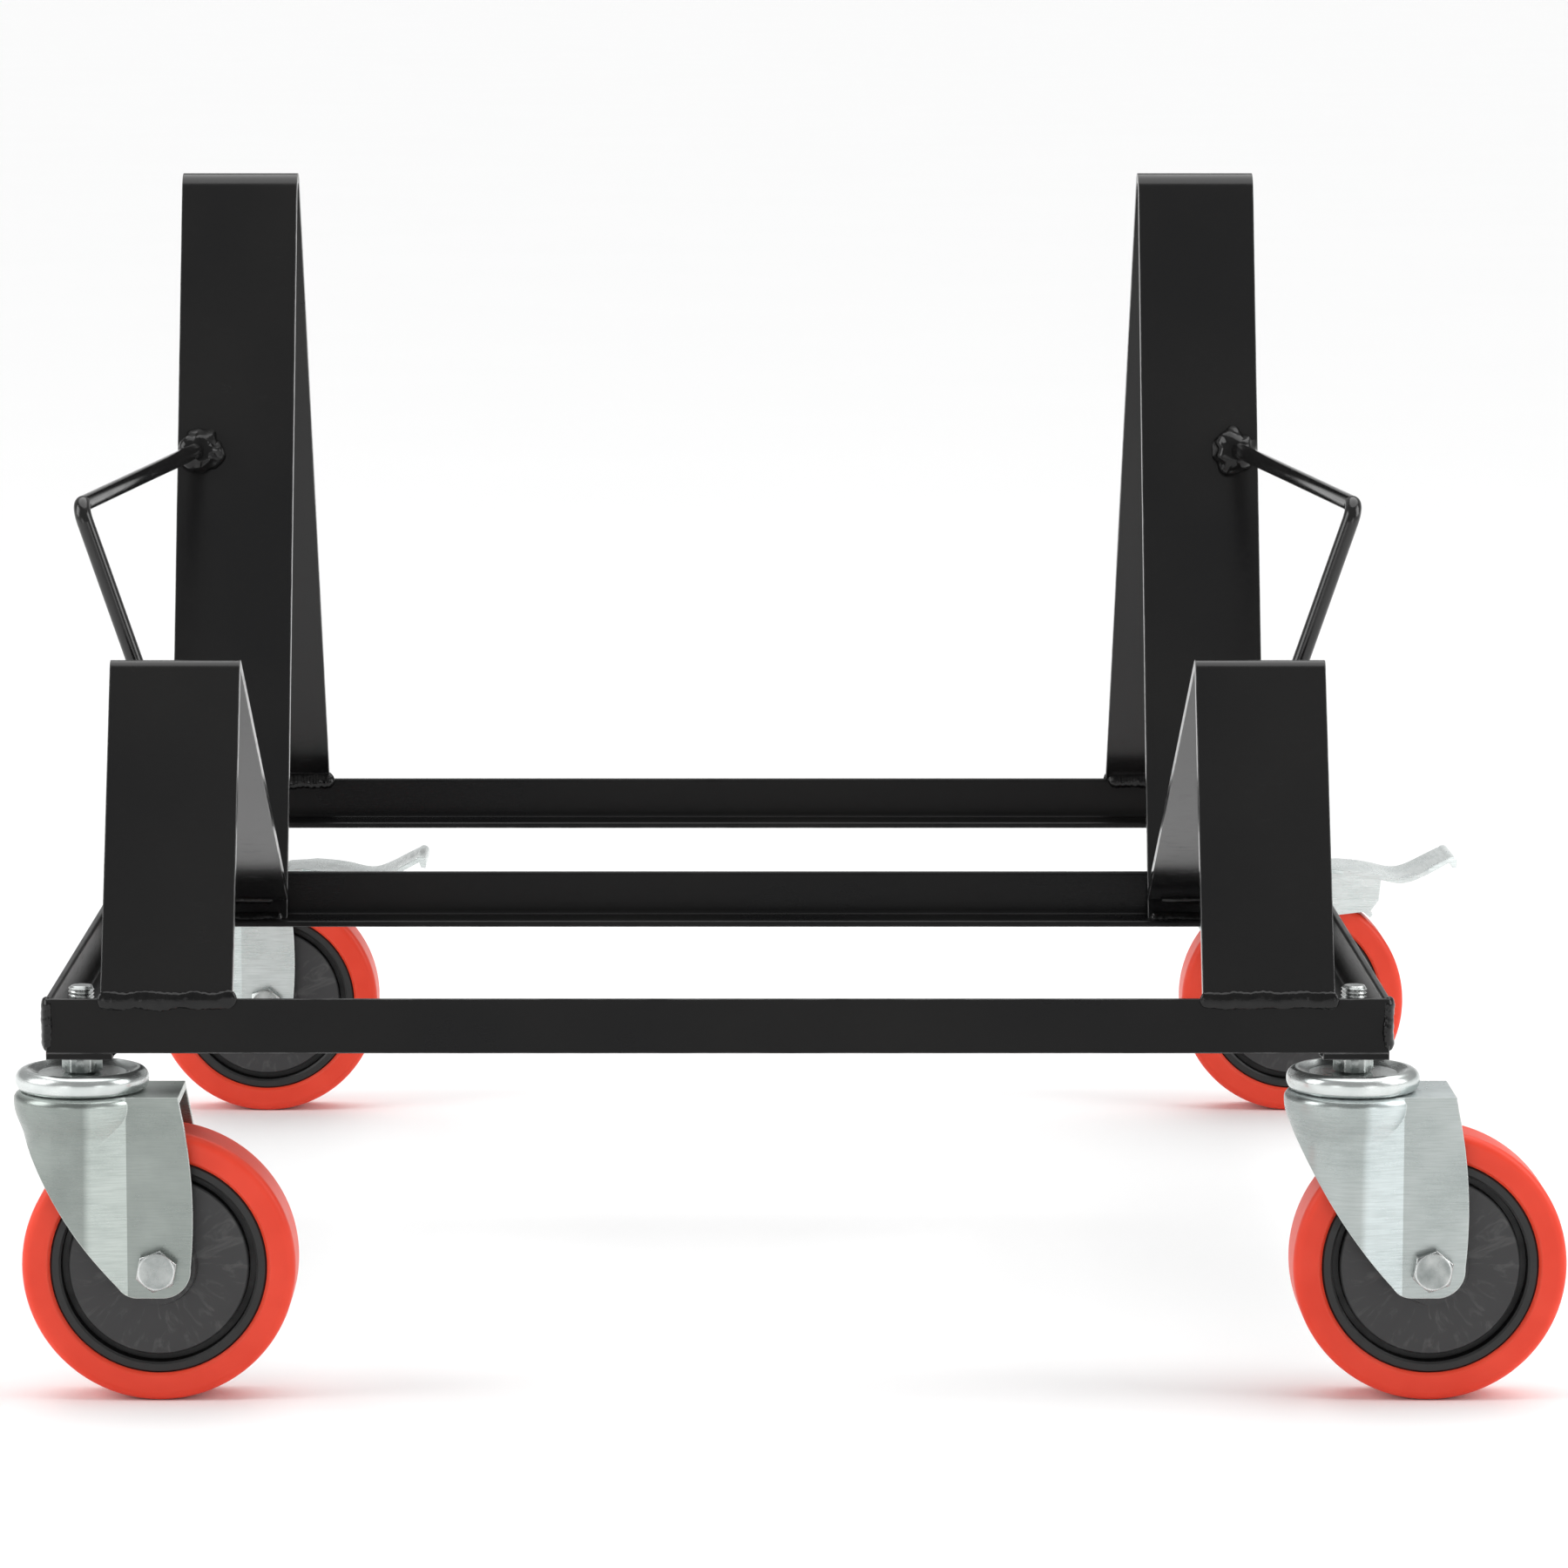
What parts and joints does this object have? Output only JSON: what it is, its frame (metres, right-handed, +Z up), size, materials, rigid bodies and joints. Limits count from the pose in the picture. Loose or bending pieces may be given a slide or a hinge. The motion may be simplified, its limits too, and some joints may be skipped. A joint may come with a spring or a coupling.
{
  "type": "engine stand",
  "caption": "Low wheeled engine stand: black angle-iron base with short and tall V-bent posts, bent side rods and zinc swivel casters with red wheels and rear pedal brakes.",
  "frame": {"origin": "on the floor, under the middle of the whole stand's box with the casters trailing to +X as stored; the base frame's own middle is at x = -47.35 mm, y = 0", "axes": "+Z up, +Y from the front rail with the short posts towards the rear rail with the tall posts, +X to the right seen from the front"},
  "size_m": [0.7373, 0.7946, 0.538],
  "materials": {
    "black_powder_coat": "satin to semi-gloss black powder coat",
    "zinc_sheet": "bright bluish zinc plate on pressed steel",
    "zinc_fastener": "zinc-plated turned and headed steel",
    "bearing_steel": "polished hardened steel",
    "polyurethane": "smooth semi-gloss red-orange polyurethane",
    "hub_plastic": "moulded charcoal polypropylene"
  },
  "bodies": {
    "root": {"front_rail": "black_powder_coat", "rear_rail": "black_powder_coat", "left_side_rail": "black_powder_coat", "right_side_rail": "black_powder_coat", "middle_rail": "black_powder_coat", "corner_plates": "black_powder_coat", "left_tall_post": "black_powder_coat", "right_tall_post": "black_powder_coat", "left_short_post": "black_powder_coat", "right_short_post": "black_powder_coat", "left_side_rod": "black_powder_coat", "right_side_rod": "black_powder_coat", "stem_nuts": "zinc_fastener", "lower_races": "zinc_sheet", "front_left_stem": "zinc_fastener", "front_left_top_raceway": "zinc_sheet", "front_right_stem": "zinc_fastener", "front_right_top_raceway": "zinc_sheet", "rear_left_stem": "zinc_fastener", "rear_left_top_raceway": "zinc_sheet", "rear_right_stem": "zinc_fastener", "rear_right_top_raceway": "zinc_sheet"},
    "front_left_swivel": {"front_left_fork": "zinc_sheet", "front_left_ball_bearings": "bearing_steel", "front_left_axle_bolt": "zinc_fastener", "front_left_axle_nut": "zinc_fastener", "front_left_axle_sleeve": "zinc_fastener"},
    "front_left_wheel": {"front_left_hub": "hub_plastic", "front_left_tread": "polyurethane", "front_left_wheel_bearings": "bearing_steel"},
    "front_right_swivel": {"front_right_fork": "zinc_sheet", "front_right_ball_bearings": "bearing_steel", "front_right_axle_bolt": "zinc_fastener", "front_right_axle_nut": "zinc_fastener", "front_right_axle_sleeve": "zinc_fastener"},
    "front_right_wheel": {"front_right_hub": "hub_plastic", "front_right_tread": "polyurethane", "front_right_wheel_bearings": "bearing_steel"},
    "rear_left_swivel": {"rear_left_fork": "zinc_sheet", "rear_left_ball_bearings": "bearing_steel", "rear_left_axle_bolt": "zinc_fastener", "rear_left_axle_nut": "zinc_fastener", "rear_left_axle_sleeve": "zinc_fastener", "rear_left_brake_pins": "zinc_fastener"},
    "rear_left_wheel": {"rear_left_hub": "hub_plastic", "rear_left_tread": "polyurethane", "rear_left_wheel_bearings": "bearing_steel"},
    "rear_left_pedal": {"rear_left_brake_pedal": "zinc_sheet"},
    "rear_left_shoe": {"rear_left_brake_shoe": "zinc_sheet"},
    "rear_right_swivel": {"rear_right_fork": "zinc_sheet", "rear_right_ball_bearings": "bearing_steel", "rear_right_axle_bolt": "zinc_fastener", "rear_right_axle_nut": "zinc_fastener", "rear_right_axle_sleeve": "zinc_fastener", "rear_right_brake_pins": "zinc_fastener"},
    "rear_right_wheel": {"rear_right_hub": "hub_plastic", "rear_right_tread": "polyurethane", "rear_right_wheel_bearings": "bearing_steel"},
    "rear_right_pedal": {"rear_right_brake_pedal": "zinc_sheet"},
    "rear_right_shoe": {"rear_right_brake_shoe": "zinc_sheet"}
  },
  "joints": [
    {"name": "front_left_swivel_turn", "type": "hinge", "parent": "root", "child": "front_left_swivel", "pos_m": [-0.33735, -0.366, 0.145], "axis": [0, 0, 1], "continuous": true},
    {"name": "front_left_wheel_spin", "type": "hinge", "parent": "front_left_swivel", "child": "front_left_wheel", "pos_m": [-0.30235, -0.366, 0.0625], "axis": [0, 1, 0], "continuous": true},
    {"name": "front_right_swivel_turn", "type": "hinge", "parent": "root", "child": "front_right_swivel", "pos_m": [0.24265, -0.366, 0.145], "axis": [0, 0, 1], "continuous": true},
    {"name": "front_right_wheel_spin", "type": "hinge", "parent": "front_right_swivel", "child": "front_right_wheel", "pos_m": [0.27765, -0.366, 0.0625], "axis": [0, 1, 0], "continuous": true},
    {"name": "rear_left_swivel_turn", "type": "hinge", "parent": "root", "child": "rear_left_swivel", "pos_m": [-0.33735, 0.366, 0.145], "axis": [0, 0, 1], "continuous": true},
    {"name": "rear_left_wheel_spin", "type": "hinge", "parent": "rear_left_swivel", "child": "rear_left_wheel", "pos_m": [-0.30235, 0.366, 0.0625], "axis": [0, 1, 0], "continuous": true},
    {"name": "rear_left_pedal_press", "type": "hinge", "parent": "rear_left_swivel", "child": "rear_left_pedal", "pos_m": [-0.29785, 0.366, 0.133], "axis": [0, 1, 0], "range_deg": [0, 16]},
    {"name": "rear_left_shoe_press", "type": "hinge", "parent": "rear_left_swivel", "child": "rear_left_shoe", "pos_m": [-0.31135, 0.366, 0.1315], "axis": [0, 1, 0], "range_deg": [0, 2]},
    {"name": "rear_right_swivel_turn", "type": "hinge", "parent": "root", "child": "rear_right_swivel", "pos_m": [0.24265, 0.366, 0.145], "axis": [0, 0, 1], "continuous": true},
    {"name": "rear_right_wheel_spin", "type": "hinge", "parent": "rear_right_swivel", "child": "rear_right_wheel", "pos_m": [0.27765, 0.366, 0.0625], "axis": [0, 1, 0], "continuous": true},
    {"name": "rear_right_pedal_press", "type": "hinge", "parent": "rear_right_swivel", "child": "rear_right_pedal", "pos_m": [0.28215, 0.366, 0.133], "axis": [0, 1, 0], "range_deg": [0, 16]},
    {"name": "rear_right_shoe_press", "type": "hinge", "parent": "rear_right_swivel", "child": "rear_right_shoe", "pos_m": [0.26865, 0.366, 0.1315], "axis": [0, 1, 0], "range_deg": [0, 2]}
  ],
  "couplings": [
    {"joint": "rear_left_shoe_press", "follows": "rear_left_pedal_press", "ratio": 0.125},
    {"joint": "rear_right_shoe_press", "follows": "rear_right_pedal_press", "ratio": 0.125}
  ]
}
